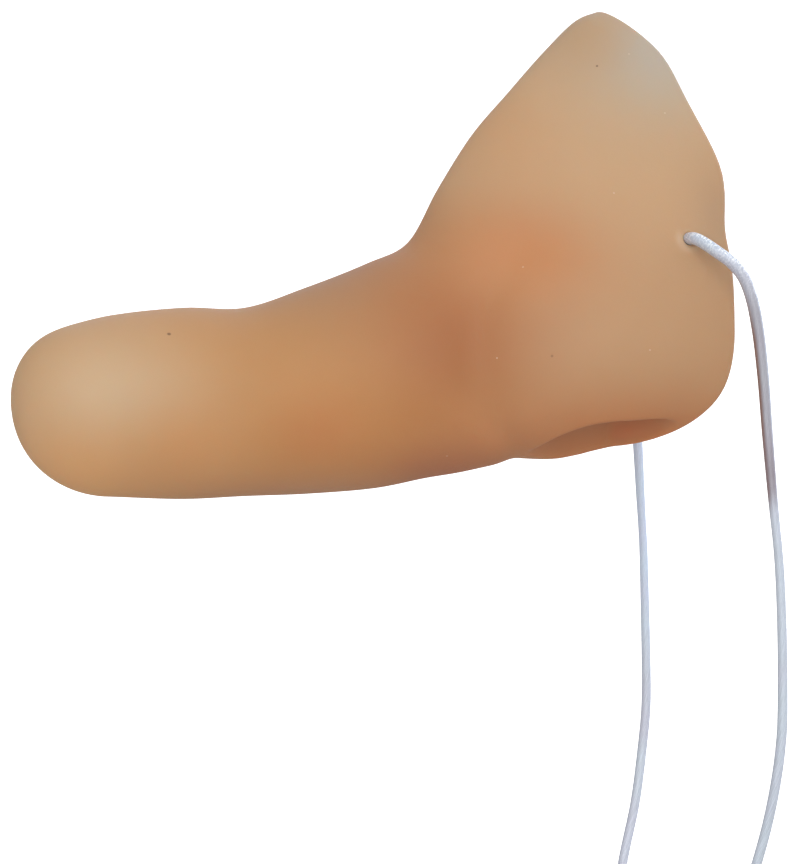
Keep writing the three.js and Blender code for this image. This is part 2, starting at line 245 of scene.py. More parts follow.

# Spots on both sides, airbrushed tints and, where marked, painted light and shade: middle and reach along Y
# and Z, and colour, in the order they are laid on
SPOTS = {
    # partly a paler airbrushed tone, partly a painted highlight on the bulb
    "bulb_pale_and_highlight": ((-108.5, -28), (18, 14), "dabc97"),
    # partly a greyer tone, partly a painted bluish reflection
    "temple_tone_and_reflection": ((-10, 29.5), (14, 11), "cfbca2"),
    # painted bluish reflection at the bridge's back corner
    "temple_edge_reflection": ((-11.5, 33), (7, 6.5), "cac0b1"),
    "peak": ((-22.5, 37), (9, 9), "cbab88"),
    # painted shade along the bridge's front, where it turns away from the light
    "bridge_front_shade": ((-37, 18), (7, 12), "d6ab81"),
    # painted shade on the top of the snout
    "saddle_shade": ((-67, -2.5), (20, 15.5), "bc936f"),
    "crease": ((-49, -17), (14.5, 16), "bd7e52"),
    "crease_foot": ((-45.5, -41.5), (15.5, 6), "bd7b5a"),
    "blush": ((-36.5, -3.5), (12, 8.5), "d69767"),
    # painted warm light on the underside of the wing
    "wing_foot_warm_light": ((-16, -35.5), (30, 8), "d7905e"),
    # painted warm light on the underside of the bulb
    "bulb_foot_warm_light": ((-115, -45), (22, 10), "eeb880"),
    "bulb_belly": ((-93, -38.5), (10, 8), "dca672"),
    "snout_flank": ((-71, -34.5), (9, 6.5), "d39460"),
    # painted shade under the snout
    "snout_foot_shade": ((-71, -46), (20, 4.5), "cc9a76"),
    # painted shade near the back edge, where the surface turns away
    "back_edge_shade": ((-2, 3), (6, 9), "c5a280"),
}
WING_FLESH = "d0a77f"
WING_TINT = (-56, -30)  # along Y
BRIDGE_FLESH = "d6b088"
BRIDGE_TINT = (-14, 14.5)  # along Z

# Marks on the skin: radius, strength, colour, and places as pixels of the photograph
SPECK_PIXELS = [(523, 267), (497, 358), (629, 54), (665, 113), (614, 193), (650, 350), (447, 456)]
MARK_CORE = 0.4  # share of the radius that is at full strength
MARKS = [
    (0.28, 0.65, PINHOLE_BROWN, [(597, 66)]),
    (0.45, 0.65, PINHOLE_BROWN, [(169, 334)]),
    (0.3, 0.35, PINHOLE_BROWN, [(552, 356)]),
    (0.17, 0.6, SPECK_CREAM, SPECK_PIXELS),
]

# Vinyl: its cloudy body, fine grain, gloss and translucency
WHITE = (1, 1, 1, 1)
CLOUD_SCALE = 55
CLOUD_AMOUNT = (0.2, 0.8)
CLOUD_SHADE = (0.9, 0.88, 0.86, 1)
GRAIN_SCALE = 1700
GRAIN_DETAIL = 2
GRAIN_BUMP = (0.12, 0.12 * MM)  # strength and height
VINYL_ROUGHNESS = (0.46, 0.6)
VINYL_GLOSS = 0.32
VINYL_SCATTER = 0.5
VINYL_SCATTER_RADIUS = (1.0, 0.5, 0.3)
VINYL_SCATTER_SCALE = 1.1 * MM

# Thread: noises as scale, detail and roughness, and the shares of them over which a look passes into another
FIBRE_NOISE = (4, 3, 0.7)
FIBRE_SHADE_SHARE = (0.3, 0.6)
FIBRE_GLOSS_SHARE = (0.3, 0.7)
FIBRE_BUMP = (0.5, 0.06 * MM)
RIB_NOISE = (2, 2, 0.5)
RIB_GLINT_SHARE = (0.48, 0.6)
# painted highlight: how strongly glints are painted on slack ribs and on their upper side
RIB_GLINT_STRENGTH = {"slack": 0.4, "shine": 0.95}
WEAR_NOISE = (90, 2, 0.5)
WEAR_SHARE = (0.35, 0.65)
WEAR_SHADES = ((0.95, 0.93, 0.97, 1), (0.95, 1, 1, 1))
THREAD_ROUGHNESS = (0.16, 0.38)
THREAD_GLOSS = 0.8
THREAD_SCATTER = 0.2
THREAD_SCATTER_RADIUS = (1, 1, 1)
THREAD_SCATTER_SCALE = 0.6 * MM

# Paper tent, in metres
FLOOR_HEIGHT = -0.8
STAGE_RADIUS = 2.6
STAGE_TOP = 2.2
STAGE_CORNER = 1.0
STAGE_SIDES = 96
STAGE_POLE = 0.001  # radius of the small ring in the middle of its floor and ceiling
CORNER_STEPS = 12
PAPER_SHADES = ((0.8, 0.8, 0.81, 1), (0.83, 0.83, 0.84, 1))
PAPER_NOISE = (40, 2, 0.5)
PAPER_ROUGHNESS = 0.9
PAPER_GLOSS = 0.1
PAPER_GLOW = (0.55, 0.95)  # on the floor and on the wall
PAPER_GLOW_TOP = -0.2  # height where the wall's begins

# Lamps: place and width in metres, power in watts and colour
LAMPS = {
    "key": ((1.445, -0.58, 0.41), 1.8, 10.7, (1, 0.985, 0.96)),
    "edge": ((-0.4, 1.1, 0.45), 0.6, 3, (0.85, 0.92, 1)),
    "fill": ((-0.9, -1.1, -0.6), 1.2, 1.3, (1, 0.96, 0.92)),
    "far_side": ((-1.35, 0.34, 0), 1.0, 5.5, (1, 0.98, 0.95)),
    "glint": ((0.58, 0.5, 0.9), 0.3, 4.5, (1, 1, 1)),
}

# Light from all round, and the directions over which each part of it passes into the next
SKY_BELOW = (0.54, 0.51, 0.5, 1)
SKY_ABOVE = (0.66, 0.67, 0.69, 1)
SKY_RISE = (-0.8, 0.8)  # along Z
SKY_FAR = (0.28, 0.27, 0.28, 1)
SKY_FAR_SIDE = (-0.9, 0.1)  # along X
SKY_COOL = (0.8, 0.92, 1.2, 1)
COOL_DIRECTION = (-0.6, 0.6, 0.53)
COOL_SPREAD = (0.6, 0.95)  # along that direction


def smooth_rise(low, high, value):
    share = np.clip((value - low) / (high - low), 0, 1)
    return share * share * (3 - 2 * share)


def rounded_ramp(share, softness):
    return (np.hypot(share, softness) - softness) / (math.hypot(1, softness) - softness)


def bell(value, spread):
    return np.exp(-((value / spread) ** 2))


# The moulding's skin


def table_value(name, station):
    """A column of the sections at a station between them, as a smooth curve through the rows."""
    column = SECTIONS[:, COLUMNS.index(name)]
    slopes = np.gradient(column)
    if name == "top":
        slopes[0] = BROW_RISE
    place = np.clip(station, 0, LAST)
    row = np.minimum(place.astype(int), LAST - 1)
    f = place - row
    start = (2 * f - 3) * f * f + 1
    blend = start * column[row] + (1 - start) * column[row + 1]
    return blend + f * (1 - f) * ((1 - f) * slopes[row] - f * slopes[row + 1])


def quarter_curve(start, start_handle, end_handle, end, share):
    rest = 1 - share
    outer = rest * rest * (rest * start + 3 * share * start_handle)
    return outer + share * share * (3 * rest * end_handle + share * end)


def lead_run_out(share, reach):
    return np.sin(np.pi / 2 * np.minimum(1, rounded_ramp(share, CREST_SOFTNESS) / reach))


def fold(turn):
    """The turn counted from the ridge down either side, and which side it is on."""
    around = np.mod(turn, FULL_TURN)
    right = around <= FULL_TURN / 2
    return np.where(right, around, FULL_TURN - around), np.where(right, 1, -1)


def skin_point(station, turn):
    """The plain skin. Station -1 is the foremost point, turn 0 the ridge, 1 the right belt, 2 the sole."""
    half_turn, side = fold(turn)
    value = {name: table_value(name, station) for name in COLUMNS}
    top, sole, width, belt = (value[name] for name in ("top", "sole", "half", "belt"))
    upper = half_turn <= 1
    share = np.where(upper, half_turn, half_turn - 1)
    shoulder = belt + value["flank"] * (top - belt)
    haunch = belt - value["keel"] * (belt - sole)
    x_upper = quarter_curve(0, value["ridge"] * width, width, width, share)
    z_upper = quarter_curve(top, top, shoulder, belt, share)
    x_lower = quarter_curve(width, width, value["keel"] * width, 0, share)
    z_lower = quarter_curve(belt, haunch, sole, sole, share)
    lead_upper = value["top_lead"] * (1 - lead_run_out(share, TOP_REACH))
    lead_lower = value["sole_lead"] * (1 - lead_run_out(1 - share, SOLE_REACH))
    x = np.where(upper, x_upper, x_lower)
    y = value["depth"] - np.where(upper, lead_upper, lead_lower)
    z = np.where(upper, z_upper, z_lower)

    angle = np.clip(1 + station, 0, 1) * np.pi / 2
    along = np.cos(angle)
    blunt = np.sin(angle) ** CAP_BLUNTNESS
    slope = BROW_SLOPE * along * (1 - smooth_rise(*BROW_FALL, along))
    above = (z - TIP_HEIGHT) * blunt
    z = TIP_HEIGHT + np.where(above > 0, above * (1 - slope), above)
    x = x * blunt
    y = y - CAP_LENGTH * along
    near_edge = np.clip((station - (LAST - WAVE_SECTIONS)) / WAVE_SECTIONS, 0, 1) ** 2
    for height, spread, shift in EDGE_WAVES:
        y = y + shift * near_edge * bell(z - height, spread)
    return np.stack([side * x, y, z], axis=-1)


def skin_normal(station, turn):
    ahead = skin_point(np.maximum(-1, station - NORMAL_STEP), turn)
    behind = skin_point(np.minimum(LAST, station + NORMAL_STEP), turn)
    around = skin_point(station, turn + NORMAL_STEP) - skin_point(station, turn - NORMAL_STEP)
    normal = np.cross(around, behind - ahead)
    normal[station <= -1] = (0, -1, 0)
    return normal / np.linalg.norm(normal, axis=-1, keepdims=True)


def nostril_hollow(station, turn):
    """How deep the nostril's hollow is, from 0 outside its oval to 1 at its roof."""
    ahead = station < NOSTRIL_STATION
    along = (station - NOSTRIL_STATION) / np.where(ahead, *NOSTRIL_LENGTH)
    offset = fold(turn)[0] - NOSTRIL_TURN - NOSTRIL_TILT * (station - NOSTRIL_STATION)
    across = offset / np.where(offset > 0, NOSTRIL_INNER_WIDTH, NOSTRIL_OUTER_WIDTH)
    power = np.where(ahead, *NOSTRIL_SQUARENESS)
    away = (np.abs(along) ** power + np.abs(across) ** power) ** (1 / power)
    inward = (1 - away) / (1 - NOSTRIL_FLOOR)
    ramp = rounded_ramp(np.clip(inward, 0, 1), NOSTRIL_LIP)
    return (1 - (1 - ramp) ** 2) * smooth_rise(SILL_START, SILL_FULL, LAST - station)


def wing_place(point):
    """Distance from the wing's centre, seen from the side, and degrees from the crease's deepest place."""
    ahead = WING_CENTRE[0] - point[..., 1]
    above = point[..., 2] - WING_CENTRE[1]
    angle = np.degrees(np.arctan2(above, ahead)) - CREASE_TILT
    return np.hypot(ahead, above), angle


def crease_mask(point):
    """How deep the crease is, from 0 to 1. It runs down the side and narrows to a notch under the sole."""
    distance, angle = wing_place(point)
    reach = np.where(angle > 0, CREASE_REACH_UP, CREASE_REACH_DOWN)
    fade = 1 - smooth_rise(reach / CREASE_EVEN_PART, reach, np.abs(angle))
    on_side = smooth_rise(SIDE_START, SIDE_FULL, np.abs(point[..., 0]))
    under = smooth_rise(-UNDER_START, -UNDER_FULL, -point[..., 2])
    narrowing = smooth_rise(-NOTCH_START, -NOTCH_FULL, -point[..., 2])
    radius = CREASE_RADIUS + (NOTCH_RADIUS - CREASE_RADIUS) * narrowing
    spread = CREASE_SPREAD + (NOTCH_SPREAD - CREASE_SPREAD) * narrowing
    return np.maximum(on_side, under) * fade * bell(distance - radius, spread)


def strap_distance(point):
    away = np.hypot(point[..., 1] - STRAP_HOLE[1], point[..., 2] - STRAP_HOLE[2])
    return np.where(np.abs(point[..., 0]) > STRAP_SIDE, away, OUT_OF_REACH)


def strap_ring(point):
    """The raised lip beside the hole, from 0 to 1."""
    distance = strap_distance(point)
    ahead = (point[..., 1] - STRAP_HOLE[1]) * STRAP_RING_SIDE[0]
    below = (point[..., 2] - STRAP_HOLE[2]) * STRAP_RING_SIDE[1]
    lifted = smooth_rise(*STRAP_RING_TURN, (ahead + below) / np.maximum(distance, STRAP_MIDDLE))
    return lifted * bell(distance - STRAP_RING_RADIUS, STRAP_RING_SPREAD)


def relief(point, station, turn):
    """How far the skin stands out of the plain one: wings, creases, nostrils and rings at the holes."""
    on_side = smooth_rise(SIDE_START, SIDE_FULL, np.abs(point[..., 0]))
    wing = on_side * WING_SWELL * bell(wing_place(point)[0], WING_SPREAD)
    ring = STRAP_RING_HEIGHT * strap_ring(point)
    hollow = NOSTRIL_DEPTH * nostril_hollow(station, turn)
    crease = CREASE_DEPTH * crease_mask(point)
    return wing + ring - crease - hollow


def wall_at(station):
    return RIM_WALL + (WALL - RIM_WALL) * np.minimum(1, (LAST - station) / RIM_TAPER)


def moulding_points(station, turn):
    """Points on the outer and inner faces of the wall."""
    point = skin_point(station, turn)
    normal = skin_normal(station, turn)
    raised = relief(point, station, turn)[..., None]
    outer = point + normal * raised
    return outer, outer - normal * wall_at(station)[..., None]


# Openings in the moulding


def vent_field(point):
    across = (np.abs(point[..., 0]) - VENT_PLACE[0]) / (VENT_HALF[0] + VENT_LIP)
    along = (point[..., 1] - VENT_PLACE[1]) / (VENT_HALF[1] + VENT_LIP)
    field = (np.hypot(across, along) - 1) * VENT_HALF[0]
    return np.where(point[..., 2] < VENT_BELOW, field, OUT_OF_REACH)


def hole_field(station, turn):
    """Below 0 inside a hole and above 0 on the wall."""
    outer = moulding_points(station, turn)[0]
    strap = strap_distance(outer) - STRAP_HOLE_RADIUS - STRAP_LIP
    return np.minimum(strap, vent_field(outer))


def with_fine_band(places, middle, half, step):
    """Places with those within a band replaced by closer ones."""
    outside = places[np.abs(places - middle) > half + step]
    band = np.linspace(middle - half, middle + half, round(2 * half / step) + 1)
    return np.sort(np.concatenate([outside, band]))


def grid_places():
    """Stations and turns of the grid of corners that covers the skin, without the foremost point."""
    cap = np.linspace(-1, 0, CAP_RINGS, endpoint=False)[1:]
    snout = np.linspace(0, WING_START, WING_START * SNOUT_RINGS, endpoint=False)
    wings = np.linspace(WING_START, RIM_STATION, (LAST - WING_START) * WING_RINGS + 1)
    stations = np.concatenate([cap, snout, with_fine_band(wings, *FINE_STATION)])
    upper = np.linspace(0, 1, UPPER_STEPS, endpoint=False)
    lower = np.linspace(1, 2, LOWER_STEPS, endpoint=False)
    right = np.concatenate([with_fine_band(upper, *FINE_TURN), lower])
    turns = np.concatenate([right, [FULL_TURN / 2], FULL_TURN - right[:0:-1]])
    return np.meshgrid(stations, turns, indexing="ij")


def draw_to_edges(station, turn, field):
    """Moves corners that lie close beside a hole's edge onto it, so that no sliver is left."""
    count = station.shape[1]
    best = {}
    for axis in (0, 1):
        other = np.roll(field, -1, axis=axis)
        crossing = field * other < 0
        if axis == 0:
            crossing[-1] = False
        for i, j in zip(*np.nonzero(crossing)):
            a = (i, j)
            b = (i + 1, j) if axis == 0 else (i, (j + 1) % count)
            share = field[a] / (field[a] - field[b])
            for corner, far, part in ((a, b, share), (b, a, 1 - share)):
                if part < SNAP and part < best.get(corner, (1,))[0]:
                    wrap = FULL_TURN * round((turn[corner] - turn[far]) / FULL_TURN)
                    place = (
                        station[corner] + part * (station[far] - station[corner]),
                        turn[corner] + part * (turn[far] + wrap - turn[corner]),
                    )
                    best[corner] = (part, place)
    for corner, (_, place) in best.items():
        station[corner], turn[corner] = place
        field[corner] = 0


def cut_cells(station, turn, field):
    """Faces of the grid without the holes, and the places of its corners and of new ones on the edges."""
    rings, count = station.shape
    stations = list(station.ravel())
    turns = list(turn.ravel())
    fields = field.ravel()
    crossings = {}
    faces = []

    def crossing(a, b):
        key = (min(a, b), max(a, b))
        if key not in crossings:
            share = fields[a] / (fields[a] - fields[b])
            wrap = FULL_TURN * round((turns[a] - turns[b]) / FULL_TURN)
            crossings[key] = len(stations)
            stations.append(stations[a] + share * (stations[b] - stations[a]))
            turns.append(turns[a] + share * (turns[b] + wrap - turns[a]))
        return crossings[key]

    for ring in range(rings - 1):
        for step in range(count):
            after = (step + 1) % count
            corners = [ring * count + step, ring * count + after]
            corners += [(ring + 1) * count + after, (ring + 1) * count + step]
            signs = [fields[corner] for corner in corners]
            if min(signs) >= 0:
                if max(signs) > 0:
                    faces.append(corners)
                continue
            kept = []
            for k, a in enumerate(corners):
                b = corners[(k + 1) % len(corners)]
                if fields[a] >= 0:
                    kept.append(a)
                if fields[a] * fields[b] < 0:
                    kept.append(crossing(a, b))
            if len(kept) > 2 and max(signs) > 0:
                faces.append(kept)
    pole = len(stations)
    stations.append(-1)
    turns.append(0)
    faces += [[pole, (step + 1) % count, step] for step in range(count)]
    return np.array(stations), np.array(turns), faces


def open_edges(faces):
    """Each edge that has a face on one side only, in that face's direction."""
    edges = {}
    for face in faces:
        for k, a in enumerate(face):
            edges[(a, face[(k + 1) % len(face)])] = True
    return [(a, b) for a, b in edges if (b, a) not in edges]


def lip_swell(station, outer):
    """How far the rounded edge stands out, at a corner of the back edge, a vent or an elastic's hole."""
    at_strap = strap_distance(outer) < 2 * STRAP_RING_RADIUS
    inside = np.where(at_strap, STRAP_LIP, VENT_LIP)
    return np.where(station > RIM_STATION - RIM_TOUCH, RIM_LIP, inside)


def keep_used(stations, turns, faces):
    """The places and faces without the corners that no face uses."""
    used = np.unique(np.concatenate([np.array(face) for face in faces]))
    renumber = np.full(len(stations), -1)
    renumber[used] = np.arange(len(used))
    faces = [[int(renumber[corner]) for corner in face] for face in faces]
    return stations[used], turns[used], faces


def edge_corners(outer, inner, edges):
    """The corners along the open edges, and the way out of the wall at each."""
    starts = np.array([a for a, _ in edges])
    ends = np.array([b for _, b in edges])
    away = np.zeros_like(outer)
    across = np.cross(outer[ends] - outer[starts], (outer - inner)[starts])
    across /= np.linalg.norm(across, axis=1, keepdims=True)
    np.add.at(away, starts, across)
    np.add.at(away, ends, across)
    border = np.unique(starts)
    return border, away[border] / np.linalg.norm(away[border], axis=1, keepdims=True)


def lip_points(outer, inner, away, swell):
    """Corners of the rounded lips, a row for each step from the outer face to the inner one."""
    middle = (outer + inner) / 2
    rows = []
    for step in range(1, LIP_STEPS):
        angle = math.pi * step / LIP_STEPS
        rows.append(middle + (outer - middle) * math.cos(angle) + away * swell * math.sin(angle))
    return rows


def lip_faces(edges, border, count):
    levels = {corner: k for k, corner in enumerate(border)}

    def lip_corner(corner, step):
        if step == 0:
            return corner
        if step == LIP_STEPS:
            return corner + count
        return 2 * count + (step - 1) * len(border) + levels[corner]

    faces = []
    for a, b in edges:
        for step in range(LIP_STEPS):
            here = [lip_corner(b, step), lip_corner(a, step)]
            there = [lip_corner(a, step + 1), lip_corner(b, step + 1)]
            faces.append([int(corner) for corner in here + there])
    return faces


def build_moulding():
    """The whole wall as one closed mesh: outer face, inner face, and a rounded lip along each open edge.

    With its corners and faces come each corner's depth in the wall and its station and turn.
    """
    station, turn = grid_places()
    field = hole_field(station, turn)
    draw_to_edges(station, turn, field)
    stations, turns, faces = keep_used(*cut_cells(station, turn, field))
    outer, inner = moulding_points(stations, turns)
    count = len(stations)
    edges = open_edges(faces)
    border, away = edge_corners(outer, inner, edges)
    swell = lip_swell(stations[border], outer[border])[:, None]
    lips = lip_points(outer[border], inner[border], away, swell)

    inner_faces = [[corner + count for corner in reversed(face)] for face in faces]
    all_faces = faces + inner_faces + lip_faces(edges, border, count)
    points = np.concatenate([outer, inner, *lips])
    lip_depth = np.repeat(np.arange(1, LIP_STEPS) / LIP_STEPS, len(border))
    depth = np.concatenate([np.zeros(count), np.ones(count), lip_depth])
    places = []
    for values in (stations, turns):
        places.append(np.concatenate([values, values, *[values[border]] * len(lips)]))
    return points, all_faces, depth, places


# Airbrushed tints and painted light and shade, each from 0 to 1 over the skin


def tint_masks(point, station, turn):
    y, z = point[..., 1], point[..., 2]
    masks = {
        "wing": smooth_rise(*WING_TINT, y),
        "bridge": smooth_rise(*BRIDGE_TINT, z),
        # painted shade, darker the deeper the nostril's hollow
        "hollow": np.sqrt(nostril_hollow(station, turn)),
        # partly paler vinyl, partly a painted highlight on the raised lip
        "stretched": LIP_PALE_AND_HIGHLIGHT_STRENGTH * strap_ring(point),
    }
    for name, (middle, reach, _) in SPOTS.items():
        masks[name] = bell(np.hypot((y - middle[0]) / reach[0], (z - middle[1]) / reach[1]), 1)
    return masks


# Shader nodes


def linear(code):
    """A screen's colour code as the linear values that the shader takes, by the sRGB curve."""
    parts = [int(code[k:k + 2], 16) / 255 for k in (0, 2, 4)]
    return tuple(p / 12.92 if p <= 0.04045 else ((p + 0.055) / 1.055) ** 2.4 for p in parts) + (1,)


class Shader:
    """A material or world whose nodes are added and linked by short calls."""

    def __init__(self, owner, surface="Principled BSDF"):
        self.owner = owner
        self.owner.use_nodes = True
        self.tree = owner.node_tree
        self.surface = self.tree.nodes[surface]

    def put(self, socket, value):
        if isinstance(value, bpy.types.NodeSocket):
            self.tree.links.new(value, socket)
        else:
            socket.default_value = value

    def add(self, kind, inputs=(), output=0, **settings):
        node = self.tree.nodes.new(kind)
        for name, value in settings.items():
            setattr(node, name, value)
        for key, value in dict(inputs).items():
            self.put(node.inputs[key], value)
        return node.outputs[output]

    def finish(self, **values):
        for name, value in values.items():
            self.put(self.surface.inputs[name.replace("_", " ")], value)
        return self.owner

    def attribute(self, name):
        return self.add("ShaderNodeAttribute", output="Fac", attribute_name=name)

    def vector_attribute(self, name):
        return self.add("ShaderNodeAttribute", output="Vector", attribute_name=name)

    def place(self):
        return self.add("ShaderNodeTexCoord", output="Object")

    def noise(self, scale, detail=3, roughness=0.5, vector=None):
        inputs = {"Scale": scale, "Detail": detail, "Roughness": roughness}
        inputs["Vector"] = vector or self.place()
        return self.add("ShaderNodeTexNoise", inputs, output="Fac")

    def combine(self, a, b, operation):
        return self.add("ShaderNodeMath", {0: a, 1: b}, operation=operation)

    def spread(self, value, low, high, start=0, end=1, curve="LINEAR"):
        """A value that goes from low to high as the given one goes from start to end."""
        inputs = {"Value": value, "From Min": start, "From Max": end, "To Min": low, "To Max": high}
        return self.add("ShaderNodeMapRange", inputs, output="Result", interpolation_type=curve)

    def tint(self, amount, under, over, blend="MIX"):
        inputs = {0: amount, 6: under, 7: over}
        return self.add("ShaderNodeMix", inputs, output=2, data_type="RGBA", blend_type=blend)

    def layered(self, colour, layers):
        """A colour with others laid over it, each as strongly as the mesh's attribute of its name says."""
        for name, code in layers.items():
            colour = self.tint(self.attribute(name), colour, linear(code))
        return colour

    def shaded(self, colour, shade):
        return self.tint(1.0, colour, shade, "MULTIPLY")

    def bump(self, height, strength, distance):
        inputs = {"Height": height, "Strength": strength, "Distance": distance}
        return self.add("ShaderNodeBump", inputs, output="Normal")

    def dots(self, places, radius, strength):
        """The strength at each of the places and 0 a radius away from all of them."""
        nearest = None
        for place in places:
            inputs = {0: self.place(), 1: tuple(place)}
            away = self.add("ShaderNodeVectorMath", inputs, output="Value", operation="DISTANCE")
            nearest = away if nearest is None else self.combine(nearest, away, "MINIMUM")
        return self.spread(nearest, strength, 0, MARK_CORE * radius, radius, "SMOOTHSTEP")


def skin_material(marks):
    """Satin vinyl, slightly translucent, with a cloudy body colour, airbrushed tints, and painted shade,
    highlights and reflections.
    """
    shader = Shader(bpy.data.materials.new("skin_vinyl"))
    cloud = shader.noise(CLOUD_SCALE)
    grain = shader.noise(GRAIN_SCALE, GRAIN_DETAIL)
    layers = {"wing": WING_FLESH, "bridge": BRIDGE_FLESH}
    layers.update({name: code for name, (_, _, code) in SPOTS.items()})
    # the lip beside the holes is partly a painted highlight
    # the nostril's hollow takes painted shade
    layers.update(hollow=HOLLOW_SHADE, stretched=LIP_PALE_AND_HIGHLIGHT, lining=LINING)
    colour = shader.layered(linear(FLESH), layers)
    colour = shader.shaded(colour, shader.tint(shader.spread(cloud, *CLOUD_AMOUNT), CLOUD_SHADE, WHITE))
    for radius, strength, code, places in marks:
        colour = shader.tint(shader.dots(places, radius * MM, strength), colour, linear(code))
    return shader.finish(
        Base_Color=colour,
        Roughness=shader.spread(grain, *VINYL_ROUGHNESS),
        Specular_IOR_Level=VINYL_GLOSS,
        Subsurface_Weight=VINYL_SCATTER,
        Subsurface_Radius=VINYL_SCATTER_RADIUS,
        Subsurface_Scale=VINYL_SCATTER_SCALE,
        Normal=shader.bump(grain, *GRAIN_BUMP),
    )


def elastic_material():
    """White thread round a rubber core: glossy fibres and ribs, with painted glints, shade, skin reflection
    and light.
    """
    shader = Shader(bpy.data.materials.new("elastic_thread"))
    fibre = shader.noise(*FIBRE_NOISE, shader.vector_attribute("winding"))
    rib = shader.noise(*RIB_NOISE, shader.vector_attribute("ribs"))
    wear = shader.noise(*WEAR_NOISE)
    whiteness = shader.spread(fibre, 0, 1, *FIBRE_SHADE_SHARE)
    colour = shader.tint(whiteness, linear(ELASTIC_SHADE), linear(ELASTIC_WHITE))
    colour = shader.layered(colour, {
        # painted light on the left strand
        "far_strand_light": ELASTIC_FAR_LIGHT,
        "slack": ELASTIC_SLACK,
        # painted shade on the stretch beside the wing
        "painted_shade_stretch": ELASTIC_GREY,
        # painted reflection of the skin
        "skin_reflection": ELASTIC_SKIN_REFLECTION,
        "mauve_band": ELASTIC_MAUVE,
    })
    # painted highlight: white glints laid into the colour of the ribs
    for side, strength in RIB_GLINT_STRENGTH.items():
        glint = shader.spread(rib, 0, strength, *RIB_GLINT_SHARE)
        glint = shader.combine(glint, shader.attribute(side), "MULTIPLY")
        colour = shader.tint(glint, colour, linear(ELASTIC_GLINT))
    colour = shader.shaded(colour, shader.tint(shader.spread(wear, 0, 1, *WEAR_SHARE), *WEAR_SHADES))
    slack_rib = shader.combine(rib, shader.attribute("slack"), "MULTIPLY")
    return shader.finish(
        Base_Color=colour,
        Roughness=shader.spread(fibre, *THREAD_ROUGHNESS, *FIBRE_GLOSS_SHARE),
        Specular_IOR_Level=THREAD_GLOSS,
        Subsurface_Weight=THREAD_SCATTER,
        Subsurface_Radius=THREAD_SCATTER_RADIUS,
        Subsurface_Scale=THREAD_SCATTER_SCALE,
        Normal=shader.bump(shader.combine(fibre, slack_rib, "ADD"), *FIBRE_BUMP),
    )


# Objects


def mesh_object(name, points, faces, material, masks=()):
    mesh = bpy.data.meshes.new(name)
    mesh.from_pydata((np.asarray(points) * MM).tolist(), [], faces)
    mesh.shade_smooth()
    for key, values in dict(masks).items():
        flat = np.asarray(values, dtype=np.float32)
        kind, field = ("FLOAT", "value") if flat.ndim == 1 else ("FLOAT_VECTOR", "vector")
        mesh.attributes.new(key, kind, "POINT").data.foreach_set(field, flat.ravel())
    mesh.materials.append(material)
    piece = bpy.data.objects.new(name, mesh)
    bpy.context.collection.objects.link(piece)
    return piece


def camera_axes():
    a, e = math.radians(VIEW_AZIMUTH), math.radians(VIEW_ELEVATION)
    back = Vector((math.sin(a) * math.cos(e), -math.cos(a) * math.cos(e), math.sin(e)))
    right = Vector((math.cos(a), math.sin(a), 0))
    return right, back.cross(right), back


def make_camera():
    focal = VIEW_DISTANCE / PIXEL_SIZE  # in pixels
    data = bpy.data.cameras.new("camera")
    data.sensor_width = SENSOR
    data.lens = focal * SENSOR / max(FRAME_WIDTH, FRAME_HEIGHT)
    camera = bpy.data.objects.new("camera", data)
    bpy.context.collection.objects.link(camera)
    back = camera_axes()[2]
    camera.location = Vector(VIEW_TARGET) + VIEW_DISTANCE * back
    camera.rotation_euler = back.to_track_quat("Z", "Y").to_euler()
    bpy.context.scene.camera = camera


def seen_at(tree, pixels):
    """Where the lines of sight through pixels of the photograph meet the skin, in metres."""
    right, up, back = camera_axes()
    eye = Vector(VIEW_TARGET) + VIEW_DISTANCE * back
    places = []
    for u, v in pixels:
        across = (u - FRAME_WIDTH / 2) * PIXEL_SIZE
        above = (FRAME_HEIGHT / 2 - v) * PIXEL_SIZE
        hit = tree.ray_cast(eye, right * across + up * above - back * VIEW_DISTANCE)[0]
        if hit is not None:
            places.append(hit)
    return places


def smooth_route(points, spacing):
    """Points a fixed distance apart along a smooth curve through the given ones."""
    points = np.array(points, dtype=float)
    ends = np.vstack([2 * points[0] - points[1], points, 2 * points[-1] - points[-2]])
    knots = np.concatenate([[0], np.cumsum(np.sqrt(np.linalg.norm(np.diff(ends, axis=0), axis=1)))])
    line = []
    for k in range(1, len(ends) - 2):
        t = np.linspace(knots[k], knots[k + 1], ROUTE_STEPS, endpoint=False)[:, None]
        p, s = ends[k - 1:k + 3], knots[k - 1:k + 3]
        a = [p[i] + (t - s[i]) / (s[i + 1] - s[i]) * (p[i + 1] - p[i]) for i in range(3)]
        b = [a[i] + (t - s[i]) / (s[i + 2] - s[i]) * (a[i + 1] - a[i]) for i in range(2)]
        line.append(b[0] + (t - s[1]) / (s[2] - s[1]) * (b[1] - b[0]))
    line = np.vstack(line + [ends[-2:-1]])
    run = np.concatenate([[0], np.cumsum(np.linalg.norm(np.diff(line, axis=0), axis=1))])
    even = np.linspace(0, run[-1], int(run[-1] / spacing) + 1)
    return np.stack([np.interp(even, run, line[:, k]) for k in range(3)], axis=1), even


